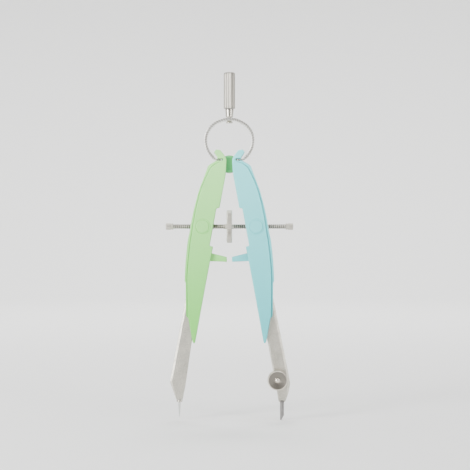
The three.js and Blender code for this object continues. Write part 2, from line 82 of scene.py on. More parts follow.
# ---------- outlines ----------
# u, z, reach of the rounding, flange (1 where the low rim runs), width of that rim
COVER = np.array([
    [1.4, 127.7, 0.8, 0, 0], [2.3, 129.3, 1.2, 0, 0], [4.45, 132.0, 0.2, 0, 0], [6.55, 132.25, 0.2, 0, 0],
    [7.5, 131.0, 0.25, 0, 0], [5.9, 128.6, 0.6, 0, 0], [5.95, 127.85, 0.25, 0, 0], [3.0, 127.85, 0.5, 0, 0],
    [3.0, 126.75, 0.5, 0, 0], [6.4, 126.8, 0.3, 1, 1.1], [9.4, 125.1, 0.5, 1, 1.35], [10.5, 124.1, 0.4, 1, 1.45],
    [12.6, 118.3, FULL, 1, 0.8], [15.0, 112.2, FULL, 1, 0.8], [17.3, 103.6, FULL, 1, 0.95],
    [18.8, 95.9, FULL, 1, 1.1], [19.4, 91.9, FULL, 1, 1.15], [20.2, 88.7, 0.8, 1, 1.35],
    [20.9, 83.2, FULL, 1, 1.35], [21.6, 75.0, FULL, 1, 1.25], [21.85, 68.0, 0.25, 1, 1.15],
    [21.4, 67.3, 0.3, 1, 0.8], [21.3, 57.4, 2.0, 1, 0.75], [21.1, 50.9, 0.7, 1, 0.6], [20.0, 50.0, 0.5, 0, 0],
    [18.1, 39.2, 0.6, 0, 0], [17.8, 38.1, 0.4, 0, 0], [16.9, 37.6, 0.4, 0, 0], [16.6, 38.8, 0.4, 0, 0],
    [13.0, 58.7, FULL, 0, 0], [9.5, 77.6, 2.0, 0, 0], [8.0, 84.8, 0.3, 0, 0], [9.7, 85.3, 0.35, 0, 0],
    [8.3, 93.0, FULL, 0, 0], [6.35, 103.6, 0.3, 0, 0], [4.85, 103.9, 0.35, 0, 0], [1.6, 121.2, 3.0, 0, 0],
])

# The hollow between the covers, which opens outwards where the bar leaves them: u, z
CAVITY = np.array([
    [4.8, 112.4], [6.2, 104.6], [7.7, 104.4], [9.6, 93.2], [11.1, 85.2], [9.6, 84.2], [10.8, 77.8], [14.3, 58.9],
    [16.7, 46.0], [15.0, 44.0], [15.0, 36.0], [26.0, 36.0], [26.0, 67.3], [20.45, 67.3], [20.4, 75.0], [19.6, 83.2],
    [18.9, 88.5], [18.1, 91.9], [17.5, 95.9], [16.0, 103.4], [13.8, 111.6], [12.9, 113.8],
])

# u, z, reach of the rounding, width of the bevel on the faces
NEEDLE_BAR = np.array([
    [12.25, 72.5, 0.3, 0.3], [18.9, 72.5, 0.3, 1.0], [29.1, 18.9, 0.5, 1.0], [26.05, 10.2, 0.4, 0.45],
    [22.85, 10.2, 0.4, 0.3], [21.5, 17.05, 1.2, 0.55], [18.3, 39.1, 2.0, 0.55],
])
LEAD_BAR = np.array([
    [12.25, 72.5, 0.3, 0.3], [18.9, 72.5, 0.3, 1.0], [28.5, 24.8, 3.0, 1.0], [29.8, 18.2, 0.9, 1.0],
    [29.0, 13.6, 2.0, 0.9], [27.5, 9.3, 0.6, 0.5], [26.7, 8.7, 0.4, 0.35], [24.6, 8.7, 0.4, 0.3],
    [24.0, 9.4, 0.5, 0.3], [23.1, 15.0, 2.0, 0.5], [21.2, 25.0, 2.0, 0.55], [18.6, 39.1, 2.0, 0.55],
])
LEVER = np.array([
    [17.5, 90.9, 0.5, 0.15], [18.0, 84.0, 1.0, 0.15], [17.5, 79.4, 0.6, 0.15], [16.4, 78.2, 0.6, 0.15],
    [14.0, 77.5, 0.8, 0.15], [8.8, 77.7, 1.0, 0.22], [1.25, 77.4, 0.2, 0.5], [1.25, 79.8, 0.2, 0.5],
    [8.8, 81.7, 1.0, 0.4], [13.2, 81.7, 0.6, 0.15], [14.8, 83.4, 0.6, 0.15], [15.1, 89.9, 0.4, 0.15],
])
FINGER = np.array([
    [15.9, 91.5, 0.4, 0.15], [14.3, 92.8, 0.5, 0.15], [11.9, 92.8, 0.3, 0.15], [11.9, 91.2, 0.3, 0.15],
    [15.6, 89.4, 0.4, 0.15],
])

COVER_FACE = 3.8  # half the thickness of a leg
COVER_INSIDE = 2.1  # half the thickness of its hollow
PARTING = 0.15  # from the middle plane to each cover
PLAIN_EDGE = 0.42  # width of the drawn round on a plain edge
ROLLER_POCKET, ROLLER_DEEP = 4.6, 2.7
SEAT = 3.15  # depth of the pockets for the nut's ends and the lever's pin
HINGE_Z = 125.2
SPINDLE_Z = 94.7
ROD_RADIUS, JOURNAL_RADIUS, THREAD_END = 1.25, 0.9, 27.2
NUT_U = 13.1
LEVER_PIN = (16.3, 90.6)
LEVER_NEAR, LEVER_FAR = 0.2, 1.8  # a lever's faces, from the middle plane
SCREWS = (("upper", 10.4, 108.4), ("lower", 16.2, 69.4))
SCREW_HOLE = 1.1
BAR_HALF = 1.8  # half the thickness of a metal leg
THROUGH = 5.0  # half the length of a cutter that goes right through
JAW_PLACE, JAW_TOP = (23.4, 20.0), 25.7  # the clamp knob's axis, and the upper end of the jaw
LEAD = (25.75, (box_mm("lead")[0][1] + box_mm("lead")[1][1]) / 2)
SLEEVE_RADIUS = 2.85  # the grip's
PLASTICS = {"left": ("mint moulding", "mint_plastic"), "right": ("aqua moulding", "aqua_plastic")}

EDGE_SHARE = 0.48  # the most of an edge that one rounded corner takes up
SHARPEST = 0.35  # least share in outline_ring, so a sharp corner doesn't run away
LEAST_REACH = 0.02


# ---------- surfaces ----------
def quads(rows, columns, closed_rows=False):
    """Four-sided faces between neighbouring points of a grid numbered row by row, its columns closed."""
    row = np.arange(rows if closed_rows else rows - 1)[:, None]
    column = np.arange(columns)[None, :]
    down, along = (row + 1) % rows, (column + 1) % columns
    corners = (row * columns + column, row * columns + along, down * columns + along, down * columns + column)
    return np.stack(np.broadcast_arrays(*corners), -1).reshape(-1, 4)


def bend(before, corner, after, steps):
    """The parabola (1-t)^2 A + 2t(1-t) P + t^2 B for each corner P, with t from 0 to 1, as rows of points."""
    t = np.linspace(0, 1, steps)[None, :, None]
    bends = (1 - t) ** 2 * before[:, None] + 2 * t * (1 - t) * corner[:, None] + t**2 * after[:, None]
    return bends.reshape(-1, 2)


def soften(path, reach, steps=4):
    """Rounds the inner corners of an open path.

    Each corner becomes the parabola of bend between points on its two edges, reach away from it or at most
    EDGE_SHARE of the edge.
    """
    path = np.asarray(path, float)
    step = np.diff(path, axis=0)
    length = np.linalg.norm(step, axis=1, keepdims=True)
    middle = path[1:-1]
    before = middle - step[:-1] * np.minimum(reach / length[:-1], EDGE_SHARE)
    after = middle + step[1:] * np.minimum(reach / length[1:], EDGE_SHARE)
    return np.concatenate([path[:1], bend(before, middle, after, steps), path[-1:]])


def outline_ring(outline, inset, steps=6):
    """One ring of a plate's outline moved inwards, with its corners rounded.

    Corner P moves by inset (n1 + n2) / (1 + n1.n2), where n1 and n2 are the inward normals of its two edges. Its
    reach shrinks by inset times the tangent of half the turn, and the corner becomes the parabola of bend.
    """
    corner, reach = outline[:, :2], outline[:, 2]
    ahead = np.roll(corner, -1, 0) - corner
    ahead /= np.linalg.norm(ahead, axis=1, keepdims=True)
    behind = np.roll(ahead, 1, 0)
    normals = [np.stack([-edge[:, 1], edge[:, 0]], 1) for edge in (behind, ahead)]
    share = np.maximum(1 + (normals[0] * normals[1]).sum(1), SHARPEST)
    half_turn = (behind[:, 0] * ahead[:, 1] - behind[:, 1] * ahead[:, 0]) / share
    moved = corner + (inset / share)[:, None] * (normals[0] + normals[1])
    edge = np.roll(moved, -1, 0) - moved
    length = np.linalg.norm(edge, axis=1)
    edge /= length[:, None]
    room = EDGE_SHARE * np.minimum(length, np.roll(length, 1))
    pull = np.clip(reach - inset * half_turn, LEAST_REACH, np.maximum(room, LEAST_REACH))[:, None]
    return bend(moved - pull * np.roll(edge, 1, 0), moved, moved + pull * edge, steps)


def anticlockwise(outline):
    """The outline's rows in the order that runs anticlockwise."""
    u, z = outline[:, 0], outline[:, 1]
    area = (u * np.roll(z, -1) - np.roll(u, -1) * z).sum()
    return outline if area > 0 else outline[::-1]


def plate(outline, rings, side, steps=6):
    """A closed plate: the outline's rings, each with an inset and a depth, joined by strips and capped.

    A point is (side u, y, z), with (u, z) on the inset outline and y the ring's depth at the nearest corner.
    rings is a list of (inset, y), each a number or one value per corner of the anticlockwise outline.
    """
    count = len(outline)
    rows = []
    for inset, y in rings:
        flat = outline_ring(outline, np.broadcast_to(np.asarray(inset, float), count), steps)
        depth = np.repeat(np.broadcast_to(np.asarray(y, float), count), steps)
        rows.append(np.stack([side * flat[:, 0], depth, flat[:, 1]], 1))
    columns = count * steps
    points = np.concatenate(rows)
    last = (len(rows) - 1) * columns
    faces = quads(len(rows), columns).tolist()
    faces.append(list(range(columns))[::-1])
    faces.append(list(range(last, last + columns)))
    return points, faces


def revolve(profile, sides, axis, centre, ripple=None, bored=False):
    """A turned piece: (r cos a, r sin a) across the axis and h along it, for the profile's points (r, h).

    ripple(a, r, h) is taken off the radius. A solid piece is closed by a pole at each end of the profile, a bored
    one by joining the profile's end to its start.
    """
    profile = np.asarray(profile, float)
    angle = np.linspace(0, 2 * np.pi, sides, endpoint=False)[None, :]
    radius, height = profile[:, :1], profile[:, 1:]
    reach = radius - (ripple(angle, radius, height) if ripple else 0.0)
    across, up = reach * np.cos(angle), reach * np.sin(angle)
    along = np.broadcast_to(height, across.shape)
    order = {"X": (along, across, up), "Y": (across, along, up), "Z": (across, up, along)}[axis]
    points = np.stack(order, -1).reshape(-1, 3)
    rows = len(profile)
    faces = quads(rows, sides, closed_rows=bored).tolist()
    if not bored:
        spot = {"X": 0, "Y": 1, "Z": 2}[axis]
        poles = np.zeros((2, 3))
        poles[:, spot] = profile[0, 1], profile[-1, 1]
        start = len(points)
        points = np.concatenate([points, poles])
        turn = np.arange(sides)
        onward = (turn + 1) % sides
        end = (rows - 1) * sides
        faces += np.stack([onward, turn, np.full(sides, start)], 1).tolist()
        faces += np.stack([end + turn, end + onward, np.full(sides, start + 1)], 1).tolist()
    return points + np.asarray(centre, float), faces


def block(low, high, side=1.0):
    """A plain box between two corners, given for the right-hand side and laid on the given one, for cutting."""
    low, high = np.array(low, float), np.array(high, float)
    if side < 0:
        low[0], high[0] = -high[0], -low[0]
    pick = np.array([[i & 1, i >> 1 & 1, i >> 2 & 1] for i in range(8)])
    faces = [[0, 2, 3, 1], [4, 5, 7, 6], [0, 1, 5, 4], [2, 6, 7, 3], [0, 4, 6, 2], [1, 3, 7, 5]]
    return np.where(pick, high, low), faces


def prism(outline, y_low, y_high, side):
    """A plain slab with an outline of (u, z) points, used only for cutting."""
    flat = np.stack([side * outline[:, 0], outline[:, 1]], 1)
    count = len(flat)
    points = np.concatenate([np.insert(flat, 1, y, axis=1) for y in (y_low, y_high)])
    faces = quads(2, count).tolist() + [list(range(count))[::-1], list(range(count, 2 * count))]
    return points, faces


def pin_cutter(u, z, radius, y_low, y_high, side, sides=40):
    """A plain cylinder through the thickness, used for cutting and joining."""
    return revolve([[radius, y_low], [radius, y_high]], sides, "Y", (side * u, 0, z))


# ---------- making pieces ----------
def mesh_object(name, shape):
    """A mesh object from millimetre points and faces, closed and facing outwards."""
    points, faces = shape
    mesh = bpy.data.meshes.new(name)
    mesh.from_pydata((np.asarray(points) * MM).tolist(), [], faces)
    work = bmesh.new()
    work.from_mesh(mesh)
    if work.calc_volume(signed=True) < 0:
        bmesh.ops.reverse_faces(work, faces=work.faces)
    work.to_mesh(mesh)
    work.free()
    obj = bpy.data.objects.new(name, mesh)
    bpy.context.scene.collection.objects.link(obj)
    return obj


def turned(name, profile, rounding, sides, axis, centre, steps=4, **extra):
    """A turned piece as a mesh object, with the corners of its profile rounded first."""
    return mesh_object(name, revolve(soften(profile, rounding, steps), sides, axis, centre, **extra))


def carve(piece, shapes, operation="DIFFERENCE"):
    """Cuts the shapes out of the piece, or joins them to it, and keeps the result as its mesh."""
    tools = [mesh_object("tool", shape) for shape in shapes]
    for tool in tools:
        modifier = piece.modifiers.new("carve", "BOOLEAN")
        modifier.operation = operation
        modifier.solver = "EXACT"
        modifier.object = tool
    graph = bpy.context.evaluated_depsgraph_get()
    mesh = bpy.data.meshes.new_from_object(piece.evaluated_get(graph))
    piece.modifiers.clear()
    old, piece.data = piece.data, mesh
    bpy.data.meshes.remove(old)
    for tool in tools:
        data = tool.data
        bpy.data.objects.remove(tool)
        bpy.data.meshes.remove(data)
    if not len(mesh.polygons):
        raise RuntimeError(f"nothing is left of {piece.name}")


def finish_piece(piece, look, body=None, replaces=(), crease=38.0, weighted=True):
    """Shades the piece, gives it its finish, and lets it ride on its body."""
    mesh = piece.data
    mesh.name = piece.name
    mesh.shade_smooth()
    mesh.set_sharp_from_angle(angle=math.radians(crease))
    mesh.materials.clear()
    mesh.materials.append(bpy.data.materials[look])
    if weighted:
        normals = piece.modifiers.new("even shading", "WEIGHTED_NORMAL")
        normals.keep_sharp = True
    if body:
        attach(piece, body)
    if replaces:
        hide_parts(*replaces)


def paint_node(name, look):
    """Gives a frame piece that stays in view its finish."""
    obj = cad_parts[name]
    if not obj.material_slots:
        obj.data.materials.append(bpy.data.materials[look])
    for place in obj.material_slots:
        place.material = bpy.data.materials[look]


# ---------- finishes ----------
class Nodes:
    """A node tree with short calls for adding and linking nodes."""

    def __init__(self, tree):
        self.tree = tree

    def add(self, kind, inputs=None, **settings):
        node = self.tree.nodes.new(kind)
        for key, value in settings.items():
            setattr(node, key, value)
        for key, value in (inputs or {}).items():
            self.feed(node.inputs[key], value)
        return node

    def feed(self, socket, value):
        if isinstance(value, bpy.types.NodeSocket):
            self.tree.links.new(value, socket)
        else:
            socket.default_value = value

    def sum(self, operation, first, second=0.0):
        node = self.add("ShaderNodeMath", operation=operation)
        self.feed(node.inputs[0], first)
        self.feed(node.inputs[1], second)
        return node.outputs[0]

    def span(self, value, low, high, to_low, to_high):
        node = self.add("ShaderNodeMapRange", {"Value": value, "From Min": low, "From Max": high,
                                               "To Min": to_low, "To Max": to_high})
        return node.outputs["Result"]

    def mix(self, factor, first, second):
        node = self.add("ShaderNodeMix", data_type="RGBA", blend_type="MIX")
        self.feed(node.inputs[0], factor)
        self.feed(node.inputs[6], first)
        self.feed(node.inputs[7], second)
        return node.outputs[2]

    def vector(self, operation, first, second=(0.0, 0.0, 0.0)):
        node = self.add("ShaderNodeVectorMath", operation=operation)
        self.feed(node.inputs[0], first)
        self.feed(node.inputs[1], second)
        return node.outputs["Value" if operation == "LENGTH" else "Vector"]

    def noise(self, detail, roughness, inputs, **settings):
        node = self.add("ShaderNodeTexNoise", {"Detail": detail, "Roughness": roughness, **inputs}, **settings)
        return node.outputs["Fac"]

    def finish(self, shader, colour, roughness, strength, distance, height):
        bump = self.add("ShaderNodeBump", {"Strength": strength, "Distance": distance, "Height": height})
        self.feed(shader["Base Color"], colour)
        self.feed(shader["Roughness"], roughness)
        self.feed(shader["Normal"], bump.outputs["Normal"])


def new_group(name, outputs=("Shade", "Height"), **inputs):
    """An empty shader group: its nodes, the sockets that bring values in and those that take them out.

    An input with a number for its default is a value, any other a vector.
    """
    group = bpy.data.node_groups.new(name, "ShaderNodeTree")
    for label, value in inputs.items():
        kind = "NodeSocketFloat" if isinstance(value, float) else "NodeSocketVector"
        socket = group.interface.new_socket(name=label, in_out="INPUT", socket_type=kind)
        if value is not None:
            socket.default_value = value
    for label in outputs:
        group.interface.new_socket(name=label, in_out="OUTPUT", socket_type="NodeSocketFloat")
    nodes = Nodes(group)
    return nodes, nodes.add("NodeGroupInput").outputs, nodes.add("NodeGroupOutput").inputs


def fine_grain_group():
    """Fine grain: two sizes of noise, one ten times the other, added as 0.65 and 0.35."""
    nodes, entry, leave = new_group("fine_grain", Vector=None, Scale=4000.0)
    coarse_scale = nodes.sum("MULTIPLY", entry["Scale"], 0.1)
    fine = nodes.noise(2.0, 0.6, {"Vector": entry["Vector"], "Scale": entry["Scale"]})
    coarse = nodes.noise(3.0, 0.5, {"Vector": entry["Vector"], "Scale": coarse_scale})
    total = nodes.sum("ADD", nodes.sum("MULTIPLY", fine, 0.65), nodes.sum("MULTIPLY", coarse, 0.35))
    nodes.feed(leave["Shade"], nodes.span(total, 0.32, 0.68, 0.0, 1.0))
    nodes.feed(leave["Height"], fine)


def streaks_group():
    """Drawn or ground streaks: noise on coordinates that are squeezed along the streaks."""
    nodes, entry, leave = new_group("drawn_streaks", Vector=None, Stretch=(4000.0, 4000.0, 150.0))
    squeezed = nodes.vector("MULTIPLY", entry["Vector"], entry["Stretch"])
    noise = nodes.noise(3.0, 0.65, {"Vector": squeezed, "Scale": 1.0})
    nodes.feed(leave["Shade"], nodes.span(noise, 0.3, 0.7, 0.0, 1.0))
    nodes.feed(leave["Height"], noise)


def turned_group():
    """Turning marks: noise along the distance from the centre, measured only across the turning axis."""
    nodes, entry, leave = new_group(
        "turning_marks", ("Shade", "Height", "Reach"),
        Vector=None, Centre=(0.0, 0.0, 0.0), Across=(1.0, 0.0, 1.0), Scale=5000.0)
    offset = nodes.vector("SUBTRACT", entry["Vector"], entry["Centre"])
    reach = nodes.vector("LENGTH", nodes.vector("MULTIPLY", offset, entry["Across"]))
    noise = nodes.noise(2.0, 0.6, {"W": reach, "Scale": entry["Scale"]}, noise_dimensions="1D")
    nodes.feed(leave["Reach"], reach)
    nodes.feed(leave["Shade"], nodes.span(noise, 0.3, 0.7, 0.0, 1.0))
    nodes.feed(leave["Height"], noise)


def surface(name, metallic=0.0):
    """A new material: its nodes, the inputs of its Principled shader and the object coordinates."""
    material = bpy.data.materials.new(name)
    material.use_nodes = True
    nodes = Nodes(material.node_tree)
    shader = material.node_tree.nodes["Principled BSDF"].inputs
    shader["Metallic"].default_value = metallic
    return nodes, shader, nodes.add("ShaderNodeTexCoord").outputs["Object"]


def use_group(nodes, group, **inputs):
    """Places a group in a material with its own values, and gives its outputs."""
    return list(nodes.add("ShaderNodeGroup", inputs, node_tree=bpy.data.node_groups[group]).outputs)


def tinted(colour, factor):
    """The colour made lighter or darker by a factor, with full alpha."""
    return tuple(min(1.0, channel * factor) for channel in colour[:3]) + (1.0,)


def moulded(name, top, bottom, z_low, z_high):
    """Satin moulded plastic: lighter towards the top and darker towards the bottom as painted light and shade along
    its length, with a faint mottle and a fine tooth.
    """
    nodes, shader, place = surface(name)
    height = nodes.add("ShaderNodeSeparateXYZ", {"Vector": place}).outputs["Z"]
    # Painted light and shade: the colour runs from the darker bottom colour at z_low to the lighter top colour at
    # z_high.
    rise = nodes.span(height, z_low * MM, z_high * MM, 0.0, 1.0)
    colour = nodes.mix(rise, tinted(bottom, 1.0), tinted(top, 1.0))
    shade, tooth = use_group(nodes, "fine_grain", Vector=place, Scale=2600.0)
    mottled = nodes.mix(nodes.span(shade, 0.0, 1.0, 0.0, 0.10), colour, tinted(bottom, 0.82))
    nodes.finish(shader, mottled, nodes.span(shade, 0.0, 1.0, 0.36, 0.48), 0.12, 0.00004, tooth)
    for key, value in (("IOR", 1.5), ("Coat Weight", 0.08), ("Coat Roughness", 0.25)):
        shader[key].default_value = value


def metal(name, colour, low_rough, high_rough, group, strength, contrast=0.18, distance=0.00003, **pattern):
    """A metal finish: the pattern darkens the colour, varies the roughness and raises the surface."""
    nodes, shader, place = surface(name, 1.0)
    shade, height = use_group(nodes, group, Vector=place, **pattern)
    base = nodes.mix(shade, tinted(colour, 1 - contrast), tinted(colour, 1.0))
    nodes.finish(shader, base, nodes.span(shade, 0.0, 1.0, high_rough, low_rough), strength, distance, height)


# Painted shade: turned metal is darkened near its axis, in the roots of threads and flutes; this is where that
# darkening starts to fade in.
SHADE_FADE = 0.9  # share of shade_below at which the dark part starts to fade


def turned_face(name, colour, centre, across, polished, shade_below=0.0, highlight_above=0.0):
    """Metal with turning marks round an axis, polished within a short reach of it.

    Nearer the axis than the shade reach it is darkened as painted shade in the roots of threads and flutes; further
    from it than the highlight reach it is lightened as a painted highlight on the rim, and then its polished middle
    gets a painted highlight too.
    """
    nodes, shader, place = surface(name, 1.0)
    shade, height, reach = use_group(
        nodes, "turning_marks", Vector=place, Centre=centre, Across=across, Scale=4200.0)
    rough = nodes.span(reach, polished, polished * 1.15, 0.0, 1.0)
    base = nodes.mix(nodes.sum("MULTIPLY", shade, rough), tinted(colour, 1.0), tinted(colour, 0.6))
    # Painted shade: nearer the axis than the shade reach, the roots of the thread and of the grip's flutes are
    # darkened.
    if shade_below:
        groove_shade = nodes.span(reach, shade_below * SHADE_FADE, shade_below, 1.0, 0.0)
        base = nodes.mix(groove_shade, base, tinted(colour, 0.35))
    # Painted highlights: the knob's chamfer and side beyond this reach are lightened all round, and its polished
    # middle dome is lightened too.
    if highlight_above:
        rim = nodes.span(reach, highlight_above, highlight_above * 1.03, 0.0, 1.0)
        base = nodes.mix(rim, base, tinted(colour, 2.6))
        dome = nodes.sum("SUBTRACT", 1.0, rough)
        base = nodes.mix(dome, base, tinted(colour, 3.0))
    roughness = nodes.sum("ADD", nodes.sum("MULTIPLY", rough, 0.24), 0.1)
    nodes.finish(shader, base, roughness, 0.7, 0.00006, nodes.sum("MULTIPLY", height, rough))


def hatched_ring(name, colour, period=1.2, lean=0.6):
    """Spring strip with fine slanting marks: a sine of distance along the strip plus distance round it."""
    nodes, shader, place = surface(name, 1.0)
    chart = nodes.add("ShaderNodeUVMap", uv_map="strip").outputs["UV"]
    parts = nodes.add("ShaderNodeSeparateXYZ", {"Vector": chart}).outputs
    slant = nodes.sum("ADD", parts["X"], nodes.sum("MULTIPLY", parts["Y"], lean))
    wave = nodes.sum("SINE", nodes.sum("MULTIPLY", slant, 2 * math.pi / period))
    marks = nodes.span(wave, -1.0, 1.0, 0.0, 1.0)
    shade, height = use_group(nodes, "fine_grain", Vector=place, Scale=5000.0)
    dark = nodes.sum("MULTIPLY", nodes.sum("SUBTRACT", 1.0, marks), 0.55)
    base = nodes.mix(dark, tinted(colour, 0.9), tinted(colour, 0.25))
    base = nodes.mix(nodes.sum("MULTIPLY", shade, 0.15), base, tinted(colour, 0.7))
    relief = nodes.sum("ADD", marks, nodes.sum("MULTIPLY", height, 0.3))
    nodes.finish(shader, base, nodes.span(shade, 0.0, 1.0, 0.3, 0.42), 0.35, 0.00003, relief)


def finishes(colours):
    """Makes every material of the compass, once."""
    if "satin leg" in bpy.data.materials:
        return
    fine_grain_group()
    streaks_group()
    turned_group()
    knob_low, knob_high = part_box("clamp_screw")
    knob = ((knob_low[0] + knob_high[0]) / 2, 0.0, (knob_low[2] + knob_high[2]) / 2)
    # Each moulding is painted lighter at its top and darker at its bottom as painted light and shade; the roller's
    # bottom colour is its own green darkened as painted shade.
    moulded("mint moulding", colours.mint_lit_top, colours.mint_shaded_bottom, 45, 128)
    moulded("aqua moulding", colours.aqua_lit_top, colours.aqua_shaded_bottom, 45, 128)
    moulded("green moulding", colours.green, tinted(colours.green, 0.75), 121, 129)
    metal("satin leg", colours.satin, 0.36, 0.52, "fine_grain", 0.8, contrast=0.5, distance=0.0001, Scale=2200.0)
    metal("knurled wheel", colours.nickel, 0.38, 0.5, "fine_grain", 0.4, contrast=0.3, Scale=4000.0)
    metal("bright shank", colours.nickel, 0.08, 0.16, "drawn_streaks", 0.08, Stretch=(400.0, 400.0, 3000.0))
    metal("bright rod", colours.nickel, 0.16, 0.3, "drawn_streaks", 0.15, Stretch=(3000.0, 300.0, 300.0))
    metal("ground steel", colours.steel, 0.16, 0.3, "drawn_streaks", 0.15, Stretch=(2500.0, 2500.0, 120.0))
    metal("spring leaf", colours.steel, 0.2, 0.35, "drawn_streaks", 0.15, Stretch=(300.0, 3000.0, 300.0))
    # The knob gets painted highlights on its rim and polished middle; the last figure for the grip and the thread is
    # the reach within which their flute and thread roots get painted shade.
    turned_face("turned knob", colours.turned, knob, (1.0, 0.0, 1.0), 1.1 * MM, highlight_above=4.25 * MM)
    turned_face("fluted grip", colours.nickel, (0.0, 0.0, 0.0), (1.0, 1.0, 0.0), 0.2 * MM, 2.8 * MM)
    turned_face("cut thread", colours.nickel, (0.0, 0.0, SPINDLE_Z * MM), (0.0, 1.0, 1.0), 0.2 * MM, 1.2 * MM)
    metal("machined brass", colours.brass, 0.22, 0.38, "fine_grain", 0.15, Scale=3000.0)
    metal("drawn graphite", colours.graphite, 0.3, 0.45, "drawn_streaks", 0.2, contrast=0.3,
          Stretch=(2600.0, 2600.0, 150.0))
    hatched_ring("hatched spring", colours.spring)


# ---------- pieces ----------
def cover_rings(outline, face, sizes):
    """Rings of a cover from the parting plane to the face.

    Where the flange value k is 0 the edge is a small round; where it is 1 the edge steps in over a low rim, up a
    sloping wall and onto the face. Each ring is (1-k) times the first plus k times the second.
    """
    k, rim = outline[:, 3], outline[:, 4]
    top, drop, edge = COVER_FACE, sizes.rim_drop / MM, sizes.cover_edge / MM / PLAIN_EDGE
    plain = [(0, -0.45), (0.03, -0.36), (0.08, -0.26), (0.14, -0.17), (0.22, -0.09), (0.31, -0.03), (0.42, 0)]
    stepped = [
        (0 * rim, -drop - 0.2), (0 * rim + 0.05, -drop - 0.08), (0 * rim + 0.16, -drop), (rim - 0.22, -drop),
        (rim, -drop - 0.35), (rim + 0.24, -0.12), (rim + 0.45, 0),
    ]
    rings = [(0.12, face * PARTING), (0.0, face * (PARTING + 0.12))]
    for (inset, depth), (far_inset, far_depth) in zip(plain, stepped):
        blend_inset = (1 - k) * inset * edge + k * far_inset
        blend_depth = (1 - k) * depth * edge + k * far_depth
        rings.append((blend_inset, face * (top + blend_depth)))
    return rings


def cover(name, side, face, sizes):
    """One cover of a leg: the stepped plate with its hollow, pockets and slots cut out."""
    outline = anticlockwise(COVER)
    piece = mesh_object(name, plate(outline, cover_rings(outline, face, sizes), side))
    tools = [
        prism(CAVITY, -COVER_INSIDE, COVER_INSIDE, side),
        pin_cutter(0, HINGE_Z, ROLLER_POCKET, -ROLLER_DEEP, ROLLER_DEEP, side, 64),
        block((2.0, -1.65, SPINDLE_Z - 3.5), (24.0, 1.65, SPINDLE_Z + 3.5), side),
        block((6.0, -COVER_INSIDE, 75.6), (12.0, COVER_INSIDE, 83.6), side),
        pin_cutter(NUT_U, SPINDLE_Z, 1.8, -SEAT, SEAT, side),
        pin_cutter(*LEVER_PIN, 1.0, -SEAT, SEAT, side),
    ]
    if face > 0:
        for _, u, z in SCREWS:
            sink = [[1.1, -1.0], [1.1, 2.5], [1.9, 2.5], [1.9, 3.6], [2.05, 3.85], [2.05, 6.0]]
            tools.append(revolve(sink, 32, "Y", (side * u, 0, z)))
    carve(piece, tools)
    if face < 0:
        boss = [[3.95, 3.4], [3.95, 3.84], [3.75, 4.02], [3.55, 4.06], [3.3, 3.55], [3.05, 4.1], [2.85, 4.16],
                [0.6, 4.2]]
        profile = soften(boss, 0.12) * [1, -1]
        carve(piece, [revolve(profile, 72, "Y", (side * NUT_U, 0, SPINDLE_Z))], "UNION")
    return piece


def bevelled_plate(name, outline, y_low, y_high, drop, side):
    """A plate with a flat bevel on both faces, as wide as each corner says and drop deep."""
    outline = anticlockwise(outline)
    width = outline[:, 3]
    rings = [
        (width + 0.03, y_low), (width - 0.05, y_low + 0.03), (0.06, y_low + drop - 0.02),
        (0.0, y_low + drop + 0.05), (0.0, y_high - drop - 0.05), (0.06, y_high - drop + 0.02),
        (width - 0.05, y_high - 0.03), (width + 0.03, y_high),
    ]
    return mesh_object(name, plate(outline, rings, side))


def strip_path():
    """Middle line and thickness of the ring spring from its top to its hooked end.

    The round stretch is (w cos a, c + h sin a) with a from 90 degrees to -52; the hook is a cubic curve that leaves
    it along its tangent and lies flat in the leg's slot.
    """
    half_width, centre, upper, lower, end = 11.6, 136.9, 10.3, 11.6, math.radians(-52)
    thick, thin, thin_run, taper_run = 1.4, 0.55, 2.0, 2.6
    angle = np.linspace(math.pi / 2, end, 110)
    height = np.where(angle > 0, upper, lower)
    arc = np.stack([half_width * np.cos(angle), centre + height * np.sin(angle)], 1)
    away = np.array([half_width * math.sin(end), -lower * math.cos(end)])
    away /= np.linalg.norm(away)
    t = np.linspace(0, 1, 26)[1:, None]
    stay = [arc[-1], arc[-1] + 0.75 * away, np.array([5.6, 127.3]), np.array([4.1, 127.3])]
    hook = (1 - t) ** 3 * stay[0] + 3 * t * (1 - t) ** 2 * stay[1] + 3 * t**2 * (1 - t) * stay[2] + t**3 * stay[3]
    path = np.concatenate([arc, hook])
    run = np.concatenate([[0], np.cumsum(np.linalg.norm(np.diff(path, axis=0), axis=1))])
    taper = np.clip((run - (run[-1] - thin_run - taper_run)) / taper_run, 0, 1)
    thickness = thick - (thick - thin) * taper**2 * (3 - 2 * taper)
    return path, run, thickness


def half_ring(name, side):
    """Half of the ring spring: a rounded strip section carried along its path, closed at both ends."""
    path, run, thickness = strip_path()
    along = np.gradient(path, axis=0)
    along /= np.linalg.norm(along, axis=1, keepdims=True)
    outward = np.stack([-along[:, 1], along[:, 0]], 1)
    deep, rounding = 2.5, 0.26
    corners = np.array([[x, y, rounding] for x, y in ((-0.5, -deep), (0.5, -deep), (0.5, deep), (-0.5, deep))])
    section = outline_ring(corners, np.zeros(4), 5)
    across = section[:, 0][None, :] * thickness[:, None]
    flat = path[:, None, :] + across[..., None] * outward[:, None, :]
    depth = np.broadcast_to(section[:, 1][None, :], across.shape)
    points = np.stack([side * flat[..., 0], depth, flat[..., 1]], -1).reshape(-1, 3)
    rows, columns = across.shape
    faces = quads(rows, columns).tolist()
    faces += [list(range(columns))[::-1], list(range((rows - 1) * columns, rows * columns))]
    piece = mesh_object(name, (points, faces))
    around = np.concatenate([[0], np.cumsum(np.linalg.norm(np.diff(section, axis=0), axis=1))])
    chart = np.stack(np.broadcast_arrays(run[:, None], side * around[None, :]), -1).reshape(-1, 2)
    layer = piece.data.uv_layers.new(name="strip")
    loops = np.empty(len(piece.data.loops), np.int32)
    piece.data.loops.foreach_get("vertex_index", loops)
    layer.data.foreach_set("uv", chart[loops].astype(np.float32).ravel())
    return piece


